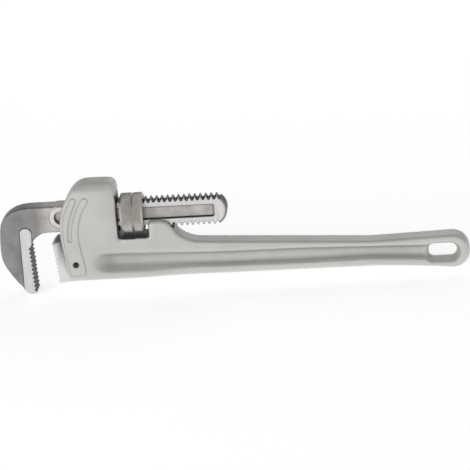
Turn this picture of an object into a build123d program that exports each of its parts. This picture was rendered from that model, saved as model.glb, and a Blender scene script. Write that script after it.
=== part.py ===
from build123d import *
import math
import os

# A straight-pattern pipe wrench, standing on its edge: the jaws are at -X, the grip is at +X, the thickness
# is along Y, and the front side faces -Y. The origin is under the middle of the wrench, on the surface that
# it stands on. Side outlines are drawn from a point of the screw axis in the nut's window: x along the
# screw, y up.

# ---------------------------------------------------------------- driving dimensions (mm)
DATUM_X = -89.24           # that point, from the middle of the wrench's length
AXIS_Z = 66.87             # screw axis above the surface that the wrench stands on

THREAD_PITCH = 4.8
SHANK_CREST_Z = 12.6       # the shank's teeth, from the screw axis to their crests and to their roots
SHANK_ROOT_Z = 9.6
SHANK_THICKNESS = 14.0     # the shank is a flat bar with teeth across its upper and lower edges
SHANK_EDGE = 0.8           # rounding of the bar's long edges
SHANK_TIP_X = 85.4
THREAD_FIRST_X = -27.0     # toothed length of the shank
THREAD_LAST_X = 82.0
GROOVE_ROOT_HALF = 0.4     # half width of the space between two teeth at the roots, and at the crests
GROOVE_CREST_HALF = 2.0
THREAD_CLEARANCE = 0.3     # axial clearance between the nut's thread and the shank's

NUT_R = 17.4
NUT_HALF_WIDTH = 10.0
NUT_SHIFT_X = 2.2          # nut's centre, from the datum point
NUT_BORE_R = 14.4
NUT_THREAD_TIP_R = 12.1
NUT_CHAMFER = 1.3
NUT_GROOVE_DEPTH = 0.7     # round groove between the nut's two knurled bands
NUT_GROOVE_HALF = 1.0
NUT_GROOVE_X = 0.9

HEAD_HALF = 16.0           # half thickness of the housing
GRIP_HALF = 11.5           # half thickness of the grip
TAPER_START_X = -10.0      # the casting thins between these, from the housing to the grip
TAPER_END_X = 62.0
TAPER_MIDDLE = ((TAPER_START_X + TAPER_END_X) / 2, (HEAD_HALF + GRIP_HALF) / 2)
TAPER_RUN = TAPER_END_X - TAPER_START_X
TAPER_DROP = HEAD_HALF - GRIP_HALF
TAPER_RADIUS = (TAPER_RUN ** 2 + TAPER_DROP ** 2) / (4 * TAPER_DROP)
EDGE_ROUND = 3.2           # rounding of the casting's long edges
PANEL_HEIGHT = 0.7         # raised panel on each side of the housing
HOOD_SLOPE_Z = 24.0        # above this the housing's sides lean in, to a narrower top
HOOD_TOP_HALF = 10.0
HOOD_TOP_Z = 32.0

WINDOW_FRONT_X = -10.6     # window that holds the adjusting nut
WINDOW_REAR_X = 15.8
WINDOW_FLOOR_Z = -19.3
PASSAGE_TOP_Z = 12.9       # passage of the hook jaw through the housing
PASSAGE_FLOOR_Z = -17.5
PASSAGE_STEP_X = -34.0     # wide in front of this, narrow behind
PASSAGE_WIDE_HALF = 11.8
PASSAGE_NARROW_HALF = 7.7
CHANNEL_HALF = 7.75        # channel for the shank between the cheeks
CHANNEL_FLOOR_Z = -14.5

WEB_HALF = 5.0             # half thickness of the web between the grip's two hollows
HOLLOW_SPREAD = 3.4        # how much higher and lower the hollows reach just outside the housing's sides
HOLLOW_RUN_OUT = 16.0      # how much further forward they reach there
SLOT_X = 270.8             # hang slot, at the wrench's middle plane; it widens towards both sides
SLOT_Z = -47.8
SLOT_LENGTH = 24.0
SLOT_WIDTH = 10.4
SLOT_DRAFT = 19.0          # degrees
SLOT_REAR_ROUND = 5.0      # rounding of the slot's corners towards the end of the grip, and of the others
SLOT_FRONT_ROUND = 3.4

JAW_HALF = 11.0            # half width of both jaws' toothed faces
HOOK_BODY_HALF = 10.0      # half width of the hook's forged body
BOSS_X = -60.1             # round boss on the hook jaw's neck, with a recess in each side
BOSS_Z = 1.0
BOSS_R = 9.8
BOSS_HALF = 10.6
BOSS_RECESS_R = 5.75
BOSS_RECESS_DEPTH = 5.0
SHANK_RECESS_HALF = 5.35   # long recess in each side of the shank
SHANK_RECESS_DEPTH = 2.5

PIN_X = -49.5              # slit pin through the housing and the heel jaw's tongue
PIN_Z = -40.9
PIN_R = 2.72
PIN_HOLE_R = 2.75
PIN_LENGTH = 25.0
PIN_WALL = 1.1
PIN_SLIT = 1.0
TONGUE_HALF = 6.0
TONGUE_GAP = 0.15

SPRING_X = -30.0           # coil spring's axis, in its pocket under the passage
LEAF_TOP_Z = -12.9
LEAF_THICKNESS = 1.0
LEAF_WIDTH = 10.0
LEAF_FRONT_X = -47.0
LEAF_REAR_X = -13.6
WIRE_R = 0.6
COIL_R = 3.4               # to the middle of the wire
COIL_TURNS = 5
POCKET_R = 4.6
POCKET_FLOOR_Z = -28.2
RIVET_SHANK_R = 1.5
RIVET_HEAD_R = 2.5
RIVET_HEAD_HEIGHT = 1.6

# ---------------------------------------------------------------- reference planes
SIDE = Plane(origin=(DATUM_X, 0, AXIS_Z), x_dir=(1, 0, 0), z_dir=(0, -1, 0))
NUT_SIDE = Plane(origin=(DATUM_X + NUT_SHIFT_X, 0, AXIS_Z), x_dir=(1, 0, 0), z_dir=(0, -1, 0))
TOP = Plane(origin=(DATUM_X, 0, AXIS_Z), x_dir=(1, 0, 0), z_dir=(0, 0, 1))
AXIAL = Plane(origin=(DATUM_X, 0, AXIS_Z), x_dir=(0, 1, 0), z_dir=(1, 0, 0))
SCREW_AXIS = Axis((DATUM_X, 0, AXIS_Z), (1, 0, 0))
UPRIGHT_AXIS = Axis((DATUM_X, 0, AXIS_Z), (0, 0, 1))

os.makedirs("parts", exist_ok=True)


def tooth_line(start, end, count, height):
    """Points of a row of V teeth whose tips run from start to end, with the roots to the right of it."""
    along = Vector(*end) - Vector(*start)
    step = along / count
    inward = Vector(-along.Y, along.X).normalized() * height
    points = [Vector(*start)]
    for tooth in range(count):
        tip = Vector(*start) + step * tooth
        points.append(tip + step * 0.5 + inward)
        points.append(tip + step)
    return points


def edge_height(radius):
    """Height from the screw axis at which a radius meets the side of the shank."""
    return math.sqrt(radius ** 2 - (SHANK_THICKNESS / 2) ** 2)


def groove_half(height):
    """Half width of the space between two teeth of the shank, at a height from the screw axis."""
    slope = (GROOVE_CREST_HALF - GROOVE_ROOT_HALF) / (SHANK_CREST_Z - SHANK_ROOT_Z)
    return GROOVE_ROOT_HALF + (height - SHANK_ROOT_Z) * slope


# ---------------------------------------------------------------- handle and housing, one casting
HEEL_SEAT_TOP = (-61.2, -19.6)
HEEL_SEAT_BOTTOM = (-55.8, -56.4)

with BuildPart() as handle_casting:
    # side outline of the whole casting
    with BuildSketch(SIDE):
        with BuildLine():
            Line(HEEL_SEAT_BOTTOM, HEEL_SEAT_TOP)
            front = ThreePointArc(HEEL_SEAT_TOP, (-61.4, -5.0), (-58.2, 9.0))
            shoulder = TangentArc(front @ 1, (-50.4, 23.6), tangent=front % 1)
            crown = TangentArc(shoulder @ 1, (-36.5, HOOD_TOP_Z), tangent=shoulder % 1)
            roof = Line(crown @ 1, (WINDOW_FRONT_X - 6.0, HOOD_TOP_Z - 0.5))
            back = RadiusArc(roof @ 1, (WINDOW_FRONT_X, HOOD_TOP_Z - 6.5), 6.0)
            Line(back @ 1, (WINDOW_FRONT_X, WINDOW_FLOOR_Z + 2.5))
            RadiusArc((WINDOW_FRONT_X, WINDOW_FLOOR_Z + 2.5), (WINDOW_FRONT_X + 2.5, WINDOW_FLOOR_Z), -2.5)
            Line((WINDOW_FRONT_X + 2.5, WINDOW_FLOOR_Z), (WINDOW_REAR_X - 2.5, WINDOW_FLOOR_Z))
            RadiusArc((WINDOW_REAR_X - 2.5, WINDOW_FLOOR_Z), (WINDOW_REAR_X, WINDOW_FLOOR_Z + 2.5), -2.5)
            Line((WINDOW_REAR_X, WINDOW_FLOOR_Z + 2.5), (WINDOW_REAR_X, -9.2))
            cheek = RadiusArc((WINDOW_REAR_X, -9.2), (WINDOW_REAR_X + 3.5, -5.7), 3.5)
            ledge = Line(cheek @ 1, (25.5, -5.7))
            hump = Spline(ledge @ 1, (38.2, -15.2), (64.0, -26.8), tangents=[(1, 0), (1, -0.048)])
            spine = Line(hump @ 1, (208.0, -34.4))
            swell = ThreePointArc(spine @ 1, (243.0, -33.6), (278.5, -32.6))
            end = ThreePointArc(swell @ 1, (294.3, -47.8), (279.0, -62.4))
            heel = ThreePointArc(end @ 1, (246.0, -59.4), (212.0, -57.4))
            Line(heel @ 1, HEEL_SEAT_BOTTOM)
        make_face()
    extrude(amount=HEAD_HALF, both=True)

    # thickness seen from above: the housing is thicker than the grip
    with BuildSketch(TOP.offset(-80)):
        with BuildLine():
            Line((-70, HEAD_HALF), (TAPER_START_X, HEAD_HALF))
            taper = RadiusArc((TAPER_START_X, HEAD_HALF), TAPER_MIDDLE, TAPER_RADIUS)
            TangentArc(taper @ 1, (TAPER_END_X, GRIP_HALF), tangent=taper % 1)
            Line((TAPER_END_X, GRIP_HALF), (300, GRIP_HALF))
            Line((300, GRIP_HALF), (300, 0))
            Line((300, 0), (-70, 0))
            Line((-70, 0), (-70, HEAD_HALF))
        make_face()
        mirror(about=Plane.XZ)
    extrude(amount=160, mode=Mode.INTERSECT)

    # rounded long edges, but for those that the heel jaw sits against
    seat_middle = DATUM_X + (HEEL_SEAT_TOP[0] + HEEL_SEAT_BOTTOM[0]) / 2
    long_edges = handle_casting.edges().filter_by(Axis.Y, reverse=True).filter_by(Axis.Z, reverse=True)
    long_edges = long_edges.filter_by(lambda edge: abs(edge.center().X - seat_middle) > 1.0)
    fillet(long_edges, EDGE_ROUND)

    # the housing's sides lean in above the passage
    with BuildSketch(AXIAL.offset(-70)):
        with BuildLine():
            Polyline((HEAD_HALF, HOOD_SLOPE_Z), (HOOD_TOP_HALF, HOOD_TOP_Z), (HOOD_TOP_HALF, HOOD_TOP_Z + 5),
                     (HEAD_HALF + 5, HOOD_TOP_Z + 5), (HEAD_HALF + 5, HOOD_SLOPE_Z), close=True)
        make_face()
        mirror(about=Plane.YZ)
    extrude(amount=75, mode=Mode.SUBTRACT)

    # passage of the hook jaw: wide at the mouth for the forged neck, narrow behind it for the shank
    passage_height = PASSAGE_TOP_Z - PASSAGE_FLOOR_Z
    passage_mid_z = (PASSAGE_TOP_Z + PASSAGE_FLOOR_Z) / 2
    with BuildSketch(AXIAL.offset(-70)) as mouth:
        with Locations((0, passage_mid_z)):
            Rectangle(2 * PASSAGE_WIDE_HALF, passage_height)
        fillet(mouth.vertices(), 2.0)
    extrude(amount=70 + PASSAGE_STEP_X, mode=Mode.SUBTRACT)
    with BuildSketch(AXIAL.offset(-70)):
        with Locations((0, passage_mid_z)):
            Rectangle(2 * PASSAGE_NARROW_HALF, passage_height)
    extrude(amount=70 + WINDOW_FRONT_X + 1, mode=Mode.SUBTRACT)

    # channel for the shank between the two cheeks behind the window
    with BuildSketch(AXIAL.offset(WINDOW_REAR_X - 1)):
        with Locations((0, CHANNEL_FLOOR_Z + 10)):
            Rectangle(2 * CHANNEL_HALF, 20)
    extrude(amount=40, mode=Mode.SUBTRACT)

    # slot for the heel jaw's tongue
    with BuildSketch(SIDE):
        with Locations((-52.0, -39.0)):
            Rectangle(21.0, 22.3)
    extrude(amount=TONGUE_HALF + TONGUE_GAP, both=True, mode=Mode.SUBTRACT)

    # hole for the slit pin, and the pocket for the coil spring
    with BuildSketch(SIDE):
        with Locations((PIN_X, PIN_Z)):
            Circle(PIN_HOLE_R)
    extrude(amount=HEAD_HALF + 1, both=True, mode=Mode.SUBTRACT)
    with BuildSketch(TOP.offset(POCKET_FLOOR_Z)):
        with Locations((SPRING_X, 0)):
            Circle(POCKET_R)
    extrude(amount=PASSAGE_FLOOR_Z - POCKET_FLOOR_Z + 1, mode=Mode.SUBTRACT)

    # long hollow in each side of the grip, which leaves an I-beam, and one half of the hang slot
    for side in (-1, 1):
        for depth, spread, run_out in ((WEB_HALF, 0, 0), (HEAD_HALF + 1, HOLLOW_SPREAD, HOLLOW_RUN_OUT)):
            with BuildSketch(SIDE.offset(-side * depth)) as hollow:
                with BuildLine():
                    Polyline((-20.0 - run_out, -35.2 + spread), (77.0, -38.4 + spread),
                             (147.0, -38.8 + spread), (208.0, -40.5 + spread), (262.0, -42.2 + spread),
                             (SLOT_X + 6.0, -42.3 + spread), (SLOT_X + 6.0, -53.0 - spread),
                             (262.0, -52.0 - spread), (208.0, -48.8 - spread), (147.0, -49.2 - spread),
                             (76.0, -48.4 - spread), (-20.0 - run_out, -45.6 - spread), close=True)
                make_face()
                fillet(hollow.vertices().group_by(Axis.X)[0], 4.6 + spread)
        loft(ruled=True, mode=Mode.SUBTRACT)
        with BuildSketch(SIDE) as slot:
            with Locations((SLOT_X, SLOT_Z)):
                Rectangle(SLOT_LENGTH, SLOT_WIDTH)
            fillet(slot.vertices().group_by(Axis.X)[0], SLOT_FRONT_ROUND)
            fillet(slot.vertices().group_by(Axis.X)[-1], SLOT_REAR_ROUND)
        extrude(amount=-side * (GRIP_HALF + 1), taper=-SLOT_DRAFT, mode=Mode.SUBTRACT)

    # raised panel on each side of the housing: two fingers that join round the pin
    for side in (-1, 1):
        with BuildSketch(SIDE.offset(-side * (HEAD_HALF - 1.0))):
            with BuildLine():
                outer = Spline((-54.4, -50.5), (-58.0, -21.0), (-57.4, 0.0), (-50.0, 16.0))
                first_tip = ThreePointArc(outer @ 1, (-46.8, 18.9), (-45.6, 15.4))
                inner = Spline(first_tip @ 1, (-52.2, 0.0), (-54.8, -18.0))
                crotch = ThreePointArc(inner @ 1, (-52.8, -20.0), (-50.8, -18.0))
                second = Spline(crotch @ 1, (-48.2, 0.5), (-40.6, 15.8))
                second_tip = ThreePointArc(second @ 1, (-36.9, 18.8), (-35.3, 14.6))
                rear = Spline(second_tip @ 1, (-42.6, 1.5), (-45.6, -16.0), (-42.8, -36.0), (-41.4, -48.0))
                foot = ThreePointArc(rear @ 1, (-42.4, -49.9), (-44.4, -50.5))
                Line(foot @ 1, outer @ 0)
            make_face()
            with Locations((PIN_X, PIN_Z)):
                Circle(PIN_HOLE_R, mode=Mode.SUBTRACT)
        extrude(amount=-side * (PANEL_HEIGHT + 1.0))

handle_casting.part.label = "handle_casting"
export_step(handle_casting.part, "parts/handle_casting.step")

# ---------------------------------------------------------------- heel jaw
HEEL_TOOTH_COUNT = 9
HEEL_TOOTH_HEIGHT = 2.0

with BuildPart() as heel_jaw:
    with BuildSketch(SIDE):
        with BuildLine():
            Polyline(*tooth_line((-70.0, -23.1), (-66.1, -55.6), HEEL_TOOTH_COUNT, HEEL_TOOTH_HEIGHT))
            Polyline((-66.1, -55.6), (-66.0, -58.0), (-54.2, -57.2), HEEL_SEAT_BOTTOM, HEEL_SEAT_TOP,
                     (-66.6, -19.8), (-70.0, -23.1))
        make_face()
    extrude(amount=JAW_HALF, both=True)
    # tongue that the pin passes through
    with BuildSketch(SIDE):
        with Locations((-52.5, -39.0)):
            Rectangle(19.7, 22.0)
    extrude(amount=TONGUE_HALF, both=True)
    with BuildSketch(SIDE):
        with Locations((PIN_X, PIN_Z)):
            Circle(PIN_HOLE_R)
    extrude(amount=HEAD_HALF, both=True, mode=Mode.SUBTRACT)

heel_jaw.part.label = "heel_jaw"
export_step(heel_jaw.part, "parts/heel_jaw.step")

# ---------------------------------------------------------------- slit pin of the heel jaw
with BuildPart() as heel_jaw_pin:
    with BuildSketch(SIDE):
        with Locations((PIN_X, PIN_Z)):
            Circle(PIN_R)
            Circle(PIN_R - PIN_WALL, mode=Mode.SUBTRACT)
        with Locations((PIN_X, PIN_Z + PIN_R)):
            Rectangle(PIN_SLIT, 2 * PIN_R, mode=Mode.SUBTRACT)
    extrude(amount=PIN_LENGTH / 2, both=True)
    chamfer(heel_jaw_pin.edges().filter_by(GeomType.CIRCLE).group_by(SortBy.RADIUS)[-1], 0.4)

heel_jaw_pin.part.label = "heel_jaw_pin"
export_step(heel_jaw_pin.part, "parts/heel_jaw_pin.step")

# ---------------------------------------------------------------- hook jaw, forged with its threaded shank
HOOK_TOOTH_COUNT = 11
HOOK_TOOTH_HEIGHT = 2.2
HOOK_TIP_TOP = (-88.5, -23.8)
HOOK_TIP_BOTTOM = (-86.4, -65.2)
LAND_BACK_X = -97.4        # back edge of the ground land behind the hook's teeth
NECK_REAR_X = -52.0
NECK_TOP_Z = 11.4
NECK_FLOOR_Z = -12.6

with BuildPart() as groove_cutter:
    # the space between two teeth on the upper edge of the shank, across its thickness
    with BuildSketch(SIDE):
        with BuildLine():
            above_z = SHANK_CREST_Z + 1.0
            Polyline((-GROOVE_ROOT_HALF, SHANK_ROOT_Z), (-groove_half(above_z), above_z),
                     (groove_half(above_z), above_z), (GROOVE_ROOT_HALF, SHANK_ROOT_Z), close=True)
        make_face()
    extrude(amount=SHANK_THICKNESS, both=True)

with BuildPart() as hook_jaw:
    # forged hook and neck
    with BuildSketch(SIDE):
        with BuildLine():
            Line((NECK_REAR_X, NECK_TOP_Z), (-80.0, NECK_TOP_Z))
            back = Spline((-80.0, NECK_TOP_Z), (-101.0, 9.0), (-111.4, 1.4), (-115.5, -18.0), (-114.2, -38.0),
                          (-104.0, -55.2), (-94.6, -65.2), tangents=[(-1, 0), (0.75, -0.66)])
            ThreePointArc(back @ 1, (-89.6, -66.8), HOOK_TIP_BOTTOM)
            Polyline(*tooth_line(HOOK_TIP_TOP, HOOK_TIP_BOTTOM, HOOK_TOOTH_COUNT, -HOOK_TOOTH_HEIGHT))
            throat = ThreePointArc(HOOK_TIP_TOP, (-83.6, -16.6), (-74.0, NECK_FLOOR_Z))
            Line(throat @ 1, (NECK_REAR_X, NECK_FLOOR_Z))
            Line((NECK_REAR_X, NECK_FLOOR_Z), (NECK_REAR_X, NECK_TOP_Z))
        make_face()
    extrude(amount=JAW_HALF, both=True)
    # the forged body is narrower than the ground land behind the teeth
    for side in (-1, 1):
        with BuildSketch(SIDE.offset(-side * HOOK_BODY_HALF)):
            with BuildLine():
                land = Line((LAND_BACK_X, -75.0), (LAND_BACK_X, -12.0))
                land_top = ThreePointArc(land @ 1, (-91.8, -7.0), (-87.0, -12.0))
                Polyline(land_top @ 1, (-87.6, HOOK_TIP_TOP[1]), (-40.0, HOOK_TIP_TOP[1]), (-40.0, 20.0),
                         (-125.0, 20.0), (-125.0, -75.0), land @ 0)
            make_face()
        extrude(amount=-side * 5, mode=Mode.SUBTRACT)
    # round boss on the neck
    with BuildSketch(SIDE):
        with Locations((BOSS_X, BOSS_Z)):
            Circle(BOSS_R)
    extrude(amount=BOSS_HALF, both=True)
    for side in (-1, 1):
        with BuildSketch(SIDE.offset(-side * (BOSS_HALF - BOSS_RECESS_DEPTH))):
            with Locations((BOSS_X, BOSS_Z)):
                Circle(BOSS_RECESS_R)
        extrude(amount=-side * (BOSS_RECESS_DEPTH + 1), mode=Mode.SUBTRACT)
    # shank: a flat bar with a rounded end
    with BuildSketch(AXIAL.offset(NECK_REAR_X - 1)) as bar:
        Rectangle(SHANK_THICKNESS, 2 * SHANK_CREST_Z)
        fillet(bar.vertices(), SHANK_EDGE)
    extrude(amount=SHANK_TIP_X - NECK_REAR_X + 1)
    with BuildSketch(SIDE):
        with BuildLine():
            tip_start_x = SHANK_TIP_X - 8.2
            ThreePointArc((tip_start_x, SHANK_CREST_Z), (SHANK_TIP_X, 0), (tip_start_x, -SHANK_CREST_Z))
            Polyline((tip_start_x, -SHANK_CREST_Z), (tip_start_x, -20), (SHANK_TIP_X + 5, -20),
                     (SHANK_TIP_X + 5, 20), (tip_start_x, 20), (tip_start_x, SHANK_CREST_Z))
        make_face()
    extrude(amount=SHANK_THICKNESS, both=True, mode=Mode.SUBTRACT)
    # long recess in each side of the shank
    recess_start_x = NECK_REAR_X + 8
    recess_end_x = 74.0
    for side in (-1, 1):
        with BuildSketch(SIDE.offset(-side * (SHANK_THICKNESS / 2 - SHANK_RECESS_DEPTH))) as recess:
            with Locations(((recess_start_x + recess_end_x) / 2, 0)):
                Rectangle(recess_end_x - recess_start_x, 2 * SHANK_RECESS_HALF)
            fillet(recess.vertices(), 1.5)
        extrude(amount=-side * SHANK_THICKNESS, mode=Mode.SUBTRACT)
    # teeth that the nut's thread runs along: the lower ones are half a pitch off the upper ones, and
    # both slant at the thread's lead angle
    half_thickness = SHANK_THICKNESS / 2
    mesh_angle = math.asin(half_thickness / (NUT_BORE_R - 1.0))
    lead_angle = math.degrees(math.atan(THREAD_PITCH * mesh_angle / (2 * math.pi * half_thickness)))
    upper_groove = groove_cutter.part.rotate(UPRIGHT_AXIS, lead_angle)
    lower_groove = upper_groove.rotate(SCREW_AXIS, 180)
    first_turn = math.ceil(THREAD_FIRST_X / THREAD_PITCH)
    last_turn = math.floor(THREAD_LAST_X / THREAD_PITCH)
    for turn in range(first_turn, last_turn):
        add(upper_groove.moved(Location(((turn + 0.5) * THREAD_PITCH, 0, 0))), mode=Mode.SUBTRACT)
        add(lower_groove.moved(Location((turn * THREAD_PITCH, 0, 0))), mode=Mode.SUBTRACT)

hook_jaw.part.label = "hook_jaw"
export_step(hook_jaw.part, "parts/hook_jaw.step")

# ---------------------------------------------------------------- adjusting nut
with BuildPart() as adjusting_nut:
    # internal thread: a helical ridge, longer than the nut, cut to its width below
    ridge_start_x = -2.5 * THREAD_PITCH
    with BuildLine():
        thread_path = Helix(THREAD_PITCH, 6 * THREAD_PITCH, NUT_BORE_R,
                            center=(DATUM_X + ridge_start_x, 0, AXIS_Z), direction=(1, 0, 0))
    with BuildSketch(SIDE):
        with BuildLine():
            root_r = NUT_BORE_R + 0.6
            tip_half = groove_half(edge_height(NUT_THREAD_TIP_R)) - THREAD_CLEARANCE
            root_half = groove_half(edge_height(root_r)) - THREAD_CLEARANCE
            Polyline((ridge_start_x - tip_half, NUT_THREAD_TIP_R), (ridge_start_x - root_half, root_r),
                     (ridge_start_x + root_half, root_r), (ridge_start_x + tip_half, NUT_THREAD_TIP_R),
                     close=True)
        make_face()
    sweep(path=thread_path, is_frenet=True)
    with BuildSketch(AXIAL.offset(-20)):
        Circle(NUT_R)
        Circle(NUT_BORE_R, mode=Mode.SUBTRACT)
    extrude(amount=40)
    # outline of the nut: two bands with a groove between them, and chamfered ends
    with BuildSketch(NUT_SIDE):
        with BuildLine():
            Polyline((-NUT_HALF_WIDTH, 0), (-NUT_HALF_WIDTH, NUT_R - NUT_CHAMFER),
                     (-NUT_HALF_WIDTH + NUT_CHAMFER, NUT_R), (NUT_GROOVE_X - NUT_GROOVE_HALF, NUT_R),
                     (NUT_GROOVE_X, NUT_R - NUT_GROOVE_DEPTH), (NUT_GROOVE_X + NUT_GROOVE_HALF, NUT_R),
                     (NUT_HALF_WIDTH - NUT_CHAMFER, NUT_R), (NUT_HALF_WIDTH, NUT_R - NUT_CHAMFER),
                     (NUT_HALF_WIDTH, 0), close=True)
        make_face()
    revolve(axis=SCREW_AXIS, mode=Mode.INTERSECT)

adjusting_nut.part.label = "adjusting_nut"
export_step(adjusting_nut.part, "parts/adjusting_nut.step")

# ---------------------------------------------------------------- leaf spring, coil spring and their rivet
with BuildPart() as flat_spring:
    with BuildSketch(TOP.offset(LEAF_TOP_Z - LEAF_THICKNESS)):
        with Locations(((LEAF_FRONT_X + LEAF_REAR_X) / 2, 0)):
            SlotOverall(LEAF_REAR_X - LEAF_FRONT_X, LEAF_WIDTH)
        with Locations((SPRING_X, 0)):
            Circle(RIVET_SHANK_R, mode=Mode.SUBTRACT)
    extrude(amount=LEAF_THICKNESS)

flat_spring.part.label = "flat_spring"
export_step(flat_spring.part, "parts/flat_spring.step")

LEAF_UNDER_Z = LEAF_TOP_Z - LEAF_THICKNESS

with BuildPart() as spring_rivet:
    with BuildSketch(TOP.offset(LEAF_UNDER_Z)):
        with Locations((SPRING_X, 0)):
            Circle(RIVET_SHANK_R)
    extrude(amount=LEAF_THICKNESS)
    with BuildSketch(TOP.offset(LEAF_UNDER_Z)):
        with Locations((SPRING_X, 0)):
            Circle(RIVET_HEAD_R)
    extrude(amount=-RIVET_HEAD_HEIGHT)

spring_rivet.part.label = "spring_rivet"
export_step(spring_rivet.part, "parts/spring_rivet.step")

COIL_BOTTOM_Z = POCKET_FLOOR_Z + WIRE_R + 0.05
COIL_TOP_Z = LEAF_UNDER_Z - WIRE_R - 0.05

with BuildPart() as coil_spring:
    coil_height = COIL_TOP_Z - COIL_BOTTOM_Z
    with BuildLine():
        coil = Helix(coil_height / COIL_TURNS, coil_height, COIL_R,
                     center=(DATUM_X + SPRING_X, 0, AXIS_Z + COIL_BOTTOM_Z))
    with BuildSketch(Plane(origin=coil @ 0, z_dir=coil % 0)):
        Circle(WIRE_R)
    sweep(path=coil, is_frenet=True)

coil_spring.part.label = "coil_spring"
export_step(coil_spring.part, "parts/coil_spring.step")
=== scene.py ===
import math

import bmesh
import bpy
import numpy as np
from mathutils import Matrix, Vector, noise
from mathutils.bvhtree import BVHTree


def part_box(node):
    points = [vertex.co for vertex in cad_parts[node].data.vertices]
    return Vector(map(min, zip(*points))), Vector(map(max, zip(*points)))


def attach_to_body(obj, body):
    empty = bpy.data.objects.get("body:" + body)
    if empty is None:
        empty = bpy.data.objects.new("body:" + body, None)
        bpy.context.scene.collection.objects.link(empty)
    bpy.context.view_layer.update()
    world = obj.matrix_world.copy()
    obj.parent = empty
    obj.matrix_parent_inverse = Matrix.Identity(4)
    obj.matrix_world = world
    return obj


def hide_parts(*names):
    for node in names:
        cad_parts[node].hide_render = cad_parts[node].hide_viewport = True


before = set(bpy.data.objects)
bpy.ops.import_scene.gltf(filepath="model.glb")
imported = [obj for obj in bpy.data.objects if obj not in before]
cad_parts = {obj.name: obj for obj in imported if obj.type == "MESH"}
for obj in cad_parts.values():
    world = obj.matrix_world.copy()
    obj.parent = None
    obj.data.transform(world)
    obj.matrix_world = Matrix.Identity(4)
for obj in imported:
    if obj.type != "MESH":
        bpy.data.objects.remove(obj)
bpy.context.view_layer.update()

# ---------------------------------------------------------------- dimensions, in metres
MM = 0.001
nut_low, nut_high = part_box("adjusting_nut")
NUT = (Vector(nut_low) + Vector(nut_high)) / 2     # the adjusting nut's centre, on the screw axis
NUT_SHIFT = Vector((2.2, 0, 0)) * MM
DATUM = NUT - NUT_SHIFT                            # point of the screw axis that side views are measured from
NUT_R = (nut_high[2] - nut_low[2]) / 2
NUT_HALF = (nut_high[0] - nut_low[0]) / 2
PITCH = 4.8 * MM
BORE_R = 14.4 * MM
RIDGE_TIP_R = 12.1 * MM
RIDGE_TIP_HALF = 0.25 * MM
RIDGE_ROOT_HALF = 1.69 * MM                        # half width of the nut's thread ridge at the bore
NUT_CHAMFER = 1.3 * MM
BAND_GROOVE_X = 0.9 * MM
BAND_GROOVE_HALF = 1.0 * MM
BAND_GROOVE_DEPTH = 0.7 * MM
KNURLS = 96
KNURL_DEPTH = 0.42 * MM
AROUND = 576                                       # mesh points round the nut, six to a knurl
KNURLED_RINGS = 78                                 # rings of mesh points along its outside and its bore
THREADED_RINGS = 50

HOUSING_HALF = 16.0 * MM                           # half thickness of the housing, without its raised panel
PANEL_HEIGHT = 0.7 * MM
PANEL_RISE = PANEL_HEIGHT - 0.02 * MM              # a hair lower, to stay inside the CAD box
PANEL_RAMP = 0.45 * MM                             # half width of the slope round the raised panel
CASTING_VOXEL = 1.0 * MM
FORGING_VOXEL = 0.55 * MM
CURVATURE_SCALE = 0.35 * MM                        # a vertex that stands out this far counts as fully curved

# Spaces and regions: x from and to, z from and to, and half width, in mm from the datum point.
FAR = 999.0                                        # no limit
PASSAGE_HALF = 12.4
PASSAGE = (-FAR, -9.0, -30.0, 14.0, PASSAGE_HALF)  # the hook jaw's way, and the spring pocket
TONGUE_SLOT = (-FAR, -38.0, -52.0, -26.0, 6.8)
HEEL_SEAT = (-FAR, -53.0, -FAR, -18.6, 15.0)
SHANK_CHANNEL = (14.0, 54.0, -15.0, FAR, 8.2)      # behind the window
NEAR_WINDOW = (-13.0, 19.0, -22.0, 18.0, FAR)
NEAR_HEEL_SEAT = (-FAR, -51.0, -FAR, -16.0, FAR)
GRIP_HOLLOW = (-42.0, FAR, -54.0, -24.0, FAR)
# Spaces painted near black with shade: the window, the open passage and the channel behind the window.
SHADED_WINDOW = (-11.4, 16.6, -20.2, 19.0, 15.2)
SHADED_PASSAGE = (-58.0, FAR, -32.0, FAR, 12.3)
SHADED_CHANNEL = (15.0, 54.0, -15.0, FAR, 7.9)
HOOK_LAND = (-98.1, -86.9, -FAR, -6.4, FAR)        # ground strip behind the hook's teeth

# Places in the side view, as x and z in mm from the datum point.
PIN_PLACE = (-49.5, -40.9)
PIN_HOLE_R = 4.4                                   # with a little of its edge
SEAT_TOP = (-61.2, -19.6)                          # ends of the casting's edge at the heel jaw
SEAT_BOTTOM = (-55.8, -56.4)
HEEL_DARK_Z = -23.0                                # the heel jaw is painted with shade above this, over its top face
DRAW_IN_X = (-24.0, -11.0)                         # the housing's sides draw in over this, to the window
DRAW_IN_Z = (-30.0, -18.0)
DRAW_IN_END_X = -8.0
HOLLOW_RUN_OUT_X = (70.0, 5.0)                     # the hollow's floor is softened more and more over this
HOOD_SLOPE_Z = (14.0, 20.0)                        # and the hood over this
BOSS_PLACE = (-60.1, 1.0)
BOSS_R = 11.0
HOOK_TEETH_TOP = (-88.5, -23.8)                    # ends of the row of tooth tips
HOOK_TEETH_BOTTOM = (-86.4, -65.2)
HOOK_TEETH_DEPTH = 3.4
FORGED_END_X = -53.0
SHANK_FRONT_X = -52.0
SHANK_ROUND_X = 71.6                               # centre of the shank's round end
DARK_END_X = 77.5                                  # the rim of the round end is dark beyond this
DARK_END_R = (11.6, 12.6)
NECK_X = (-84.0, -72.0)                            # the scale gives way to the rubbed neck over this
NECK_UNDER_Z = -13.5
SHANK_GROUND_Z = -12.0

# Half widths beyond which a flat side is one of the hook jaw's ground faces, in mm.
LAND_FACE = 10.75
BOSS_FACE = 10.45
SHANK_FACE = 6.8

# How often each mesh is evened out.
CASTING_ROUNDS = 9
SLOPE_ROUNDS = 26
FORGING_ROUNDS = 45


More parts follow.
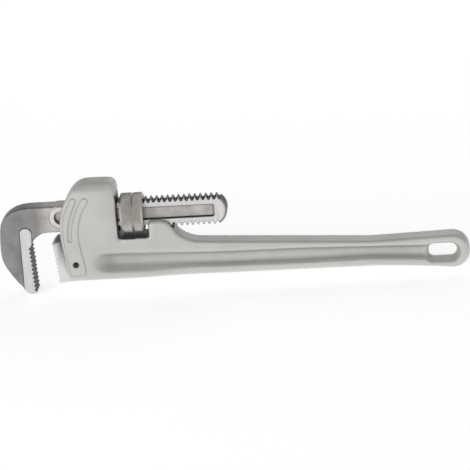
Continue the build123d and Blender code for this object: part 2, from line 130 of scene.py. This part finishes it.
# ---------------------------------------------------------------- mesh helpers
def side_view(points):
    """x and z from the datum point, and the distance from the middle plane, in mm."""
    return (points[:, 0] - DATUM.x) / MM, (points[:, 2] - DATUM.z) / MM, np.abs(points[:, 1]) / MM


def merged_copy(node, name):
    """A copy of a CAD node with its split vertices joined."""
    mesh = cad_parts[node].data.copy()
    work = bmesh.new()
    work.from_mesh(mesh)
    bmesh.ops.remove_doubles(work, verts=work.verts, dist=0.002 * MM)
    work.to_mesh(mesh)
    work.free()
    mesh.materials.clear()
    obj = bpy.data.objects.new(name, mesh)
    bpy.context.scene.collection.objects.link(obj)
    return obj


def apply_modifiers(obj):
    """Writes the object's modifiers into its mesh."""
    bpy.context.view_layer.update()
    graph = bpy.context.evaluated_depsgraph_get()
    mesh = bpy.data.meshes.new_from_object(obj.evaluated_get(graph))
    obj.modifiers.clear()
    old = obj.data
    obj.data = mesh
    bpy.data.meshes.remove(old)


def remeshed(node, name, voxel):
    """A CAD node rebuilt from small even quads that lie on its surface."""
    obj = merged_copy(node, name)
    surface = BVHTree.FromPolygons([v.co.copy() for v in obj.data.vertices],
                                   [tuple(p.vertices) for p in obj.data.polygons])
    remesh = obj.modifiers.new("even", "REMESH")
    remesh.mode = "VOXEL"
    remesh.voxel_size = voxel
    apply_modifiers(obj)
    points = coordinates(obj)
    for i, point in enumerate(points):
        place = surface.find_nearest(Vector(point))[0]
        if place is not None:
            points[i] = place
    set_coordinates(obj, points)
    return obj


def coordinates(obj):
    points = np.empty(len(obj.data.vertices) * 3)
    obj.data.vertices.foreach_get("co", points)
    return points.reshape(-1, 3)


def set_coordinates(obj, points):
    obj.data.vertices.foreach_set("co", np.asarray(points, dtype=float).ravel())
    obj.data.update()


def vertex_normals(obj):
    normals = np.empty(len(obj.data.vertices) * 3)
    obj.data.vertices.foreach_get("normal", normals)
    return normals.reshape(-1, 3)


def neighbours(obj):
    """The two ends of every edge, and how many edges meet at every vertex."""
    ends = np.empty(len(obj.data.edges) * 2, dtype=int)
    obj.data.edges.foreach_get("vertices", ends)
    count = np.maximum(np.bincount(ends, minlength=len(obj.data.vertices)), 1)
    return ends.reshape(-1, 2), count


def neighbour_mean(values, ends, count):
    """Mean of each vertex's neighbours, for an array of one row per vertex."""
    total = np.zeros_like(values)
    for a, b in ((0, 1), (1, 0)):
        for column in range(values.shape[1]):
            total[:, column] += np.bincount(ends[:, a], values[ends[:, b], column], len(values))
    return total / count[:, None]


def soften(obj, strength, rounds):
    """Rounds the mesh's edges; strength is 0 to 1 for each vertex."""
    step = 0.6
    points = coordinates(obj)
    ends, count = neighbours(obj)
    for _ in range(rounds):
        points += step * strength[:, None] * (neighbour_mean(points, ends, count) - points)
    set_coordinates(obj, points)


def store(obj, name, values):
    """Keeps one number per vertex for the object's material."""
    attribute = obj.data.attributes.new(name, "FLOAT", "POINT")
    attribute.data.foreach_set("value", np.asarray(values, dtype=np.float32))


def store_curvature(obj):
    """Stores how far each vertex stands out of its surroundings: above 0 on edges, below 0 in corners."""
    rounds = 4
    points = coordinates(obj)
    ends, count = neighbours(obj)
    mean = points.copy()
    for _ in range(rounds):
        mean = neighbour_mean(mean, ends, count)
    out = ((points - mean) * vertex_normals(obj)).sum(1) / CURVATURE_SCALE
    store(obj, "curvature", np.clip(out, -1, 1))


def shade_smooth(obj):
    obj.data.polygons.foreach_set("use_smooth", [True] * len(obj.data.polygons))


def within(space, x, z, wide):
    """Which points lie in a space."""
    x_low, x_high, z_low, z_high, half = space
    return (x > x_low) & (x < x_high) & (z > z_low) & (z < z_high) & (wide < half)


def from_line(x, z, top, bottom):
    """Distance towards the grip from a line in the side view, and distance beyond its ends, in mm."""
    along = np.subtract(bottom, top)
    length = math.hypot(*along)
    along = along / length
    dx, dz = x - top[0], z - top[1]
    run = dx * along[0] + dz * along[1]
    return dz * along[0] - dx * along[1], np.maximum(-run, run - length)


def smooth_step(values, low, high):
    t = np.clip((values - low) / (high - low), 0, 1)
    return t * t * (3 - 2 * t)


def outline_distance(segments, points):
    """Signed distance of 2-D points from a closed outline given as segments, positive inside."""
    a = segments[:, 0]
    along = segments[:, 1] - a
    length = np.maximum((along ** 2).sum(1), 1e-18)
    result = np.empty(len(points))
    at_once = 2000
    for i in range(0, len(points), at_once):
        block = points[i:i + at_once, None, :]
        t = np.clip(((block - a) * along).sum(2) / length, 0, 1)
        distance = np.sqrt(((block - a - t[..., None] * along) ** 2).sum(2)).min(1)
        rises = (a[:, 1] > block[..., 1]) != (segments[:, 1, 1] > block[..., 1])
        height = np.where(along[:, 1] == 0, 1e-18, along[:, 1])
        crossing_x = a[:, 0] + (block[..., 1] - a[:, 1]) * along[:, 0] / height
        inside = (rises & (block[..., 0] < crossing_x)).sum(1) % 2 == 1
        result[i:i + at_once] = np.where(inside, distance, -distance)
    return result


# ---------------------------------------------------------------- material helpers
def new_material(name):
    material = bpy.data.materials.new(name)
    material.use_nodes = True
    return material, material.node_tree, material.node_tree.nodes["Principled BSDF"]


def noise_node(tree, scale, detail, stretch=(1, 1, 1)):
    """Noise in the object's own coordinates; scale is in cycles per metre."""
    place = tree.nodes.new("ShaderNodeTexCoord")
    mapping = tree.nodes.new("ShaderNodeMapping")
    mapping.inputs["Scale"].default_value = stretch
    texture = tree.nodes.new("ShaderNodeTexNoise")
    texture.inputs["Scale"].default_value = scale
    texture.inputs["Detail"].default_value = detail
    tree.links.new(place.outputs["Object"], mapping.inputs["Vector"])
    tree.links.new(mapping.outputs["Vector"], texture.inputs["Vector"])
    return texture.outputs["Fac"]


def mapped(tree, value, from_low, from_high, to_low, to_high):
    node = tree.nodes.new("ShaderNodeMapRange")
    node.inputs["From Min"].default_value = from_low
    node.inputs["From Max"].default_value = from_high
    node.inputs["To Min"].default_value = to_low
    node.inputs["To Max"].default_value = to_high
    tree.links.new(value, node.inputs["Value"])
    return node.outputs["Result"]


def mixed(tree, factor, first, second):
    """Colour between first and second; each is a socket or a colour."""
    node = tree.nodes.new("ShaderNodeMix")
    node.data_type = "RGBA"
    tree.links.new(factor, node.inputs["Factor"])
    for socket, colour in ((node.inputs["A"], first), (node.inputs["B"], second)):
        if isinstance(colour, tuple):
            socket.default_value = (*colour, 1)
        else:
            tree.links.new(colour, socket)
    return node.outputs["Result"]


def attribute_value(tree, name):
    node = tree.nodes.new("ShaderNodeAttribute")
    node.attribute_name = name
    return node.outputs["Fac"]


def bumped(tree, shader, heights):
    """Adds bumps to the shader: heights is a list of (socket, height in metres)."""
    normal = None
    for socket, height in heights:
        bump = tree.nodes.new("ShaderNodeBump")
        bump.inputs["Distance"].default_value = height
        tree.links.new(socket, bump.inputs["Height"])
        if normal is not None:
            tree.links.new(normal, bump.inputs["Normal"])
        normal = bump.outputs["Normal"]
    tree.links.new(normal, shader.inputs["Normal"])


def cast_aluminium():
    """Matt, fine-grained casting, with painted highlights on its edges and painted shade in its corners, in
    fine lines and inside its openings.
    """
    material, tree, shader = new_material("cast_aluminium")
    shader.inputs["Metallic"].default_value = 0.2
    blotch = mapped(tree, noise_node(tree, 38, 4), 0.35, 0.65, 0, 1)
    speckle = mapped(tree, noise_node(tree, 1500, 3), 0.3, 0.7, 0, 1)
    base = mixed(tree, blotch, (0.545, 0.541, 0.512), (0.595, 0.591, 0.562))
    grainy = mixed(tree, mapped(tree, speckle, 0, 1, 0, 0.22), base, (0.44, 0.435, 0.41))
    curve = attribute_value(tree, "curvature")
    # painted shade in the corners
    corner_shaded = mixed(tree, mapped(tree, curve, -0.7, -0.08, 0.65, 0), grainy, (0.27, 0.266, 0.245))
    # painted highlight on the edges
    edge_highlighted = mixed(tree, mapped(tree, curve, 0.15, 0.8, 0, 0.45), corner_shaded, (0.74, 0.735, 0.715))
    # painted shade: a fine dark line at the foot of the panel's rim and at the casting's edge by the heel jaw
    shade_line = mapped(tree, attribute_value(tree, "shade_line"), 0, 1, 0, 0.5)
    shade_lined = mixed(tree, shade_line, edge_highlighted, (0.20, 0.195, 0.18))
    # painted shade inside the window, the passage and the channel
    inside_shade = mapped(tree, attribute_value(tree, "inside_shade"), 0, 1, 0, 0.94)
    inside_shaded = mixed(tree, inside_shade, shade_lined, (0.028, 0.029, 0.031))
    tree.links.new(inside_shaded, shader.inputs["Base Color"])
    tree.links.new(mapped(tree, speckle, 0, 1, 0.42, 0.58), shader.inputs["Roughness"])
    bumped(tree, shader, [(noise_node(tree, 420, 3), 0.10 * MM), (noise_node(tree, 1700, 2), 0.035 * MM)])
    return material


def forged_steel():
    """Dark scale on the hook, bright ground faces and a browner, rubbed neck and shank, with painted shade on
    the teeth, the thread flanks and the recess walls and in corners, and painted highlights on edges.
    """
    material, tree, shader = new_material("forged_and_ground_steel")
    shader.inputs["Metallic"].default_value = 0.75
    blotch = mapped(tree, noise_node(tree, 70, 5), 0.3, 0.7, 0, 1)
    fine = mapped(tree, noise_node(tree, 900, 3), 0.3, 0.7, 0, 1)
    scale = mixed(tree, blotch, (0.225, 0.224, 0.222), (0.335, 0.333, 0.330))
    scale = mixed(tree, mapped(tree, fine, 0, 1, 0, 0.30), scale, (0.15, 0.15, 0.15))
    neck = mixed(tree, blotch, (0.40, 0.378, 0.355), (0.64, 0.610, 0.580))
    rubbed = mixed(tree, attribute_value(tree, "neck"), scale, neck)
    grind = mapped(tree, noise_node(tree, 900, 3, (1, 1, 0.06)), 0.3, 0.7, 0, 1)
    bright = mixed(tree, grind, (0.58, 0.565, 0.565), (0.72, 0.70, 0.70))
    ground = attribute_value(tree, "ground")
    faced = mixed(tree, ground, rubbed, bright)
    # painted shade on the teeth, the thread flanks and the recess walls
    dark = mixed(tree, fine, (0.018, 0.018, 0.019), (0.055, 0.054, 0.053))
    toothed = mixed(tree, attribute_value(tree, "painted_shade"), faced, dark)
    curve = attribute_value(tree, "curvature")
    # painted highlight on the edges
    edge_highlighted = mixed(tree, mapped(tree, curve, 0.22, 0.8, 0, 0.5), toothed, (0.46, 0.455, 0.445))
    # painted shade in the corners
    corner_shaded = mixed(tree, mapped(tree, curve, -0.7, -0.15, 0.6, 0), edge_highlighted, (0.05, 0.049, 0.047))
    tree.links.new(corner_shaded, shader.inputs["Base Color"])
    tree.links.new(mapped(tree, fine, 0, 1, 0.38, 0.56), shader.inputs["Roughness"])
    bumped(tree, shader, [(noise_node(tree, 320, 4), 0.10 * MM),
                          (noise_node(tree, 1500, 2, (1, 1, 0.1)), 0.02 * MM)])
    return material


def ground_steel():
    """Bright steel with fine upright grinding marks, for the heel jaw, with painted shade over its top."""
    material, tree, shader = new_material("ground_steel")
    shader.inputs["Metallic"].default_value = 0.35
    grind = mapped(tree, noise_node(tree, 1000, 3, (1, 1, 0.06)), 0.3, 0.7, 0, 1)
    blotch = mapped(tree, noise_node(tree, 110, 4), 0.35, 0.65, 0, 1)
    bright = mixed(tree, grind, (0.68, 0.66, 0.665), (0.80, 0.78, 0.785))
    worn = mixed(tree, mapped(tree, blotch, 0, 1, 0, 0.15), bright, (0.42, 0.41, 0.39))
    # painted shade over the heel jaw's top
    dark = (0.035, 0.035, 0.036)
    toothed = mixed(tree, attribute_value(tree, "painted_shade"), worn, dark)
    tree.links.new(toothed, shader.inputs["Base Color"])
    tree.links.new(mapped(tree, grind, 0, 1, 0.32, 0.46), shader.inputs["Roughness"])
    bumped(tree, shader, [(noise_node(tree, 1400, 2, (1, 1, 0.08)), 0.02 * MM)])
    return material


def nut_steel():
    """Grey steel, with painted highlights on the tips of the knurl and painted shade between them, in the
    groove and in the bore.
    """
    material, tree, shader = new_material("nut_steel")
    shader.inputs["Metallic"].default_value = 0.7
    blotch = mapped(tree, noise_node(tree, 160, 4), 0.35, 0.65, 0, 1)
    base = mixed(tree, blotch, (0.58, 0.555, 0.52), (0.70, 0.675, 0.635))
    # painted highlight on the knurl tips
    tipped = mixed(tree, attribute_value(tree, "knurl"), base, (0.70, 0.685, 0.65))
    # painted shade in the knurl's hollows, the groove and the bore
    hollowed = mixed(tree, attribute_value(tree, "hollow"), tipped, (0.10, 0.097, 0.09))
    tree.links.new(hollowed, shader.inputs["Base Color"])
    tree.links.new(mapped(tree, blotch, 0, 1, 0.36, 0.50), shader.inputs["Roughness"])
    bumped(tree, shader, [(noise_node(tree, 900, 3), 0.03 * MM)])
    return material


def small_part_steel(name, dark, pale, roughness):
    """Drawn or rolled steel for the pin, the springs and the rivet."""
    material, tree, shader = new_material(name)
    shader.inputs["Metallic"].default_value = 0.85
    streak = mapped(tree, noise_node(tree, 700, 4), 0.3, 0.7, 0, 1)
    tree.links.new(mixed(tree, streak, dark, pale), shader.inputs["Base Color"])
    tree.links.new(mapped(tree, streak, 0, 1, roughness - 0.06, roughness + 0.08), shader.inputs["Roughness"])
    bumped(tree, shader, [(noise_node(tree, 1800, 2), 0.015 * MM)])
    return material


# ---------------------------------------------------------------- handle and housing casting
def panel_segments():
    """Outline of the raised panel on the housing's front side, from the CAD triangles that stand proud."""
    mesh = merged_copy("handle_casting", "panel_probe")
    uses = {}
    for face in mesh.data.polygons:
        corners = [mesh.data.vertices[i].co for i in face.vertices]
        if all(c.y < -(HOUSING_HALF + 0.9 * PANEL_HEIGHT) for c in corners):
            for key in face.edge_keys:
                uses[key] = uses.get(key, 0) + 1
    rim = [key for key, count in uses.items() if count == 1]
    points = [[(mesh.data.vertices[i].co.x, mesh.data.vertices[i].co.z) for i in key] for key in rim]
    bpy.data.objects.remove(mesh)
    return np.array(points)


def draw_in_sides(obj, x, z, wide):
    """Takes the coarse raised panel away, and draws the sides in a little towards the window."""
    draw_in = 1.7 * MM
    points = coordinates(obj)
    points[:, 1] = np.clip(points[:, 1], -HOUSING_HALF, HOUSING_HALF)
    ease = smooth_step(x, *DRAW_IN_X) * smooth_step(z, *DRAW_IN_Z)
    ease *= (x < DRAW_IN_END_X) & (wide > PASSAGE_HALF)
    points[:, 1] -= np.sign(points[:, 1]) * ease * draw_in
    set_coordinates(obj, points)


def build_casting():
    """Cast aluminium housing and grip: soft edges, with the raised panel put back crisply at the end."""
    obj = remeshed("handle_casting", "handle_casting_cast", CASTING_VOXEL)
    x, z, wide = side_view(coordinates(obj))
    draw_in_sides(obj, x, z, wide)
    kept = np.hypot(x - PIN_PLACE[0], z - PIN_PLACE[1]) < PIN_HOLE_R
    for space in (PASSAGE, TONGUE_SLOT, HEEL_SEAT, SHANK_CHANNEL):
        kept |= within(space, x, z, wide)
    softness = np.where(within(NEAR_WINDOW, x, z, wide), 0.3, 1.0)
    softness[within(NEAR_HEEL_SEAT, x, z, wide)] = 0.25
    soften(obj, np.where(kept, 0.0, softness), CASTING_ROUNDS)
    hollow_end = smooth_step(x, *HOLLOW_RUN_OUT_X) * within(GRIP_HOLLOW, x, z, wide)
    hood_slope = smooth_step(z, *HOOD_SLOPE_Z)
    soften(obj, np.where(kept, 0.0, np.maximum(hollow_end, hood_slope)), SLOPE_ROUNDS)
    # painted shade inside the window, the channel and the open passage
    inside_shade_zone = within(SHADED_WINDOW, x, z, wide) | within(SHADED_CHANNEL, x, z, wide)
    store(obj, "inside_shade", inside_shade_zone | kept & within(SHADED_PASSAGE, x, z, wide))
    add_panel(obj)
    shade_smooth(obj)
    store_curvature(obj)
    return obj


def add_panel(obj):
    """Raises the panel on both sides of the housing, on a finer mesh along its outline."""
    segments = panel_segments()
    margin = 3 * MM
    low = segments.reshape(-1, 2).min(0) - margin
    high = segments.reshape(-1, 2).max(0) + margin
    work = bmesh.new()
    work.from_mesh(obj.data)
    work.verts.ensure_lookup_table()

    def distances():
        places = np.array([v.co for v in work.verts])
        near = np.full(len(places), -1.0)
        flat = places[:, [0, 2]]
        on_side = np.abs(places[:, 1]) > HOUSING_HALF - 1.2 * MM
        pick = on_side & (flat > low).all(1) & (flat < high).all(1)
        near[pick] = outline_distance(segments, flat[pick])
        return near

    for reach in (1.5 * MM, 0.9 * MM):
        near = np.abs(distances()) < reach
        marked = [e for e in work.edges if near[e.verts[0].index] and near[e.verts[1].index]]
        bmesh.ops.subdivide_edges(work, edges=marked, cuts=1, use_grid_fill=True)
        work.verts.ensure_lookup_table()
        work.verts.index_update()
    from_rim = distances()
    rise = smooth_step(from_rim, -PANEL_RAMP, PANEL_RAMP) * PANEL_RISE
    for vertex, height in zip(work.verts, rise):
        if height > 0:
            vertex.co.y += math.copysign(height, vertex.co.y)
    work.to_mesh(obj.data)
    work.free()
    obj.data.update()
    store_shade_line(obj, from_rim)


def store_shade_line(obj, from_rim):
    """Marks the foot of the panel's rim, and the casting's edge at the heel jaw, for a fine line of painted
    shade.
    """
    x, z, wide = side_view(coordinates(obj))
    from_seat = from_line(x, z, SEAT_TOP, SEAT_BOTTOM)[0]
    foot_line = np.exp(-((from_rim + 0.25 * MM) / (0.38 * MM)) ** 2)
    seat_line = np.exp(-(from_seat / 0.7) ** 2) * (wide > 14.5) * (z < -19.0)
    store(obj, "shade_line", np.maximum(foot_line, seat_line))


# ---------------------------------------------------------------- hook jaw
def roughen(obj, free):
    """Gives the forging its slightly uneven skin where free is true."""
    depth = 0.10 * MM
    points = coordinates(obj)
    normals = vertex_normals(obj)
    for i in np.nonzero(free)[0]:
        rough = noise.noise(Vector(points[i]) * 260) + 0.5 * noise.noise(Vector(points[i]) * 700)
        points[i] += normals[i] * rough * depth
    set_coordinates(obj, points)


def build_hook():
    """Forged hook and toothed shank: rounded forging, flat ground lands, and sharp teeth."""
    obj = remeshed("hook_jaw", "hook_jaw_forged", FORGING_VOXEL)
    x, z, wide = side_view(coordinates(obj))
    from_tips, beyond = from_line(x, z, HOOK_TEETH_TOP, HOOK_TEETH_BOTTOM)
    toothed = (from_tips > -HOOK_TEETH_DEPTH) & (beyond < 1.0)
    land = within(HOOK_LAND, x, z, wide)
    boss = np.hypot(x - BOSS_PLACE[0], z - BOSS_PLACE[1]) < BOSS_R
    shank = x > SHANK_FRONT_X
    free = ~(land | boss | toothed) & (x < FORGED_END_X)
    soften(obj, free * 1.0, FORGING_ROUNDS)
    soften(obj, (toothed | shank) * 0.5, 1)
    flat = np.abs(vertex_normals(obj)[:, 1]) > 0.9
    roughen(obj, free)
    shade_smooth(obj)
    store_curvature(obj)

    ground = flat & land & (wide > LAND_FACE)
    ground |= flat & boss & (wide > BOSS_FACE)
    ground |= flat & shank & (wide > SHANK_FACE) & (z > SHANK_GROUND_Z)
    recess = flat & (wide < SHANK_FACE)
    from_round_centre = np.hypot(np.maximum(x - SHANK_ROUND_X, 0), z)
    dark_end = 0.75 * (x > DARK_END_X) * smooth_step(from_round_centre, *DARK_END_R)
    neck = smooth_step(x, *NECK_X) * np.where(z > NECK_UNDER_Z, 1.0, 0.4)
    store(obj, "ground", ground)
    # painted shade on the teeth, the thread flanks and the recess walls, and darker over the rim of the
    # shank's round end
    store(obj, "painted_shade", np.maximum((toothed | shank) & ~ground & ~recess, dark_end))
    store(obj, "neck", np.where(shank, 0.75, neck))
    return obj


# ---------------------------------------------------------------- heel jaw
def build_heel():
    """The heel jaw's CAD faces, each as few polygons as possible, with narrow broken edges."""
    obj = merged_copy("heel_jaw", "heel_jaw_ground")
    work = bmesh.new()
    work.from_mesh(obj.data)
    bmesh.ops.dissolve_limit(work, angle_limit=math.radians(0.5), verts=work.verts, edges=work.edges)
    work.to_mesh(obj.data)
    work.free()
    bevel = obj.modifiers.new("broken edges", "BEVEL")
    bevel.width = 0.22 * MM
    bevel.segments = 2
    bevel.limit_method = "ANGLE"
    bevel.angle_limit = math.radians(40)
    apply_modifiers(obj)
    cut = obj.modifiers.new("triangles", "TRIANGULATE")
    cut.quad_method = "BEAUTY"
    apply_modifiers(obj)
    obj.data.shade_flat()
    # painted shade over the top of the heel jaw
    store(obj, "painted_shade", side_view(coordinates(obj))[1] > HEEL_DARK_Z)
    return obj


# ---------------------------------------------------------------- adjusting nut
def knurled_ring(x, angle):
    """Radius, painted highlight on the knurl tips and painted shade in the hollows along one ring of the
    nut's outside.
    """
    dip = BAND_GROOVE_DEPTH * max(0.0, 1 - abs(x - BAND_GROOVE_X) / BAND_GROOVE_HALF)
    if dip > 0:                                    # the plain groove between the two knurled bands, painted with shade
        return np.full(AROUND, NUT_R - dip), np.zeros(AROUND), np.full(AROUND, 0.45)
    lead = x / NUT_R
    first = (angle + lead) * KNURLS / (2 * math.pi) % 1
    second = (angle - lead) * KNURLS / (2 * math.pi) % 1
    height = np.minimum(1 - np.abs(2 * first - 1), 1 - np.abs(2 * second - 1))
    fade = np.clip((NUT_HALF - abs(x)) / NUT_CHAMFER - 0.75, 0.25, 1.0)
    radius = NUT_R - KNURL_DEPTH * (1 - np.clip(height * 1.5, 0, 1)) * fade
    return radius, np.clip(height * 1.4 - 0.5, 0, 1), (1 - np.clip(height * 2.2, 0, 1)) * 0.55


def threaded_ring(x, angle):
    """The same for one ring of the nut's bore, which has no knurl and is painted with shade all round."""
    offset = (NUT.x + x - DATUM.x - PITCH * angle / (2 * math.pi)) % PITCH - PITCH / 2
    slope = np.clip((RIDGE_ROOT_HALF - np.abs(offset)) / (RIDGE_ROOT_HALF - RIDGE_TIP_HALF), 0, 1)
    return BORE_R - slope * (BORE_R - RIDGE_TIP_R), np.zeros(AROUND), np.full(AROUND, 0.5)


def build_nut():
    """Ring with two diamond-knurled bands outside and a right-hand thread inside, as one closed grid."""
    angle = np.arange(AROUND) * 2 * math.pi / AROUND
    chamfer = (np.full(AROUND, NUT_R - NUT_CHAMFER), np.zeros(AROUND), np.zeros(AROUND))
    band_end = NUT_HALF - NUT_CHAMFER
    rings = [(-NUT_HALF, chamfer)]
    rings += [(x, knurled_ring(x, angle)) for x in np.linspace(-band_end, band_end, KNURLED_RINGS)]
    rings += [(NUT_HALF, chamfer)]
    rings += [(x, threaded_ring(x, angle)) for x in np.linspace(NUT_HALF, -NUT_HALF, THREADED_RINGS)]
    points = []
    for x, (radius, _, _) in rings:
        across, up = -radius * np.sin(angle), NUT.z + radius * np.cos(angle)
        points.append(np.stack([np.full(AROUND, NUT.x + x), across, up], 1))
    faces = []
    for i in range(len(rings)):
        low, high = i * AROUND, (i + 1) % len(rings) * AROUND
        for j in range(AROUND):
            k = (j + 1) % AROUND
            faces.append((low + j, low + k, high + k, high + j))
    mesh = bpy.data.meshes.new("adjusting_nut_knurled")
    mesh.from_pydata(np.concatenate(points).tolist(), [], faces)
    work = bmesh.new()
    work.from_mesh(mesh)
    bmesh.ops.recalc_face_normals(work, faces=work.faces)
    work.to_mesh(mesh)
    work.free()
    obj = bpy.data.objects.new("adjusting_nut_knurled", mesh)
    bpy.context.scene.collection.objects.link(obj)
    # painted highlight on the knurl tips, and painted shade in the knurl's hollows, the groove and the bore
    store(obj, "knurl", np.concatenate([tips for _, (_, tips, _) in rings]))
    store(obj, "hollow", np.concatenate([hollows for _, (_, _, hollows) in rings]))
    return obj


# ---------------------------------------------------------------- pieces on their bodies
def attach(obj, body, node, material):
    obj.data.materials.clear()
    obj.data.materials.append(material)
    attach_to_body(obj, body)
    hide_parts(node)


attach(build_casting(), "handle", "handle_casting", cast_aluminium())
attach(build_hook(), "jaw", "hook_jaw", forged_steel())
attach(build_heel(), "handle", "heel_jaw", ground_steel())
attach(build_nut(), "nut", "adjusting_nut", nut_steel())

pin_steel = small_part_steel("pin_steel", (0.16, 0.155, 0.15), (0.30, 0.295, 0.285), 0.42)
spring_steel = small_part_steel("spring_steel", (0.07, 0.072, 0.08), (0.17, 0.172, 0.18), 0.38)
for node, material in (("heel_jaw_pin", pin_steel), ("flat_spring", spring_steel),
                       ("spring_rivet", pin_steel), ("coil_spring", spring_steel)):
    for material_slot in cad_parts[node].material_slots:
        material_slot.material = material

# ---------------------------------------------------------------- floor, light and camera
AZIMUTH = math.radians(4.0)
ELEVATION = math.radians(16.5)
ROLL = math.radians(-4.08)
DISTANCE = 2.2
PICTURE_PIXELS = 470
PIXELS_PER_METRE = 1143.7
SENSOR_WIDTH = 36
CENTRE = Vector((0.0, 0.0, 0.049))
AIM_SHIFT = Vector((1.56, -7.4, 0.0)) * MM         # where the camera aims from the centre, right and up
LIT_POINT = Vector((0.0, 0.0, 0.05))
LIGHTS = (                                         # name, place, size in metres and power in watts
    ("front", (-0.6, -2.4, 0.75), 2.0, 12),
    ("front_left", (-2.1, -1.4, 0.7), 1.2, 10),
    ("back", (0.4, 2.2, 1.2), 1.6, 8),
)


def make_floor():
    """Wide, pale floor that glows a little, so that it stays white."""
    bpy.ops.mesh.primitive_plane_add(size=40, location=(0, 0, 0))
    floor = bpy.context.object
    floor.name = "floor"
    material, _, shader = new_material("pale_floor")
    shader.inputs["Base Color"].default_value = (0.93, 0.93, 0.93, 1)
    shader.inputs["Roughness"].default_value = 0.9
    shader.inputs["Specular IOR Level"].default_value = 0.1
    shader.inputs["Emission Color"].default_value = (1, 1, 1, 1)
    shader.inputs["Emission Strength"].default_value = 0.57
    floor.data.materials.append(material)


def add_light(name, place, size, power):
    """Soft round lamp that points at the wrench."""
    data = bpy.data.lights.new(name, "AREA")
    data.shape = "DISK"
    data.size = size
    data.energy = power
    light = bpy.data.objects.new(name, data)
    light.location = place
    light.rotation_euler = (LIT_POINT - Vector(place)).to_track_quat("-Z", "Y").to_euler()
    bpy.context.scene.collection.objects.link(light)


def make_world():
    """White surroundings, brighter near the horizon than overhead."""
    world = bpy.data.worlds.new("studio")
    world.use_nodes = True
    tree = world.node_tree
    direction = tree.nodes.new("ShaderNodeTexCoord")
    axes = tree.nodes.new("ShaderNodeSeparateXYZ")
    tree.links.new(direction.outputs["Generated"], axes.inputs["Vector"])
    strength = mapped(tree, axes.outputs["Z"], 0.1, 0.9, 0.62, 0.18)
    tree.links.new(strength, tree.nodes["Background"].inputs["Strength"])
    tree.nodes["Background"].inputs["Color"].default_value = (1, 1, 1, 1)
    bpy.context.scene.world = world


def make_camera():
    """Long lens, rolled and aimed like the photograph's."""
    back = Vector((math.sin(AZIMUTH) * math.cos(ELEVATION), -math.cos(AZIMUTH) * math.cos(ELEVATION),
                   math.sin(ELEVATION)))
    data = bpy.data.cameras.new("camera")
    data.sensor_width = SENSOR_WIDTH
    data.lens = PIXELS_PER_METRE * DISTANCE / PICTURE_PIXELS * SENSOR_WIDTH
    camera = bpy.data.objects.new("camera", data)
    turn = back.to_track_quat("Z", "Y").to_matrix().to_4x4() @ Matrix.Rotation(ROLL, 4, "Z")
    aim = CENTRE + turn.to_3x3() @ AIM_SHIFT
    camera.matrix_world = Matrix.Translation(aim + back * DISTANCE) @ turn
    bpy.context.scene.collection.objects.link(camera)
    bpy.context.scene.camera = camera


make_floor()
make_world()
for name, place, size, power in LIGHTS:
    add_light(name, place, size, power)
make_camera()
bpy.context.scene.view_settings.view_transform = "Standard"

bpy.context.view_layer.update()
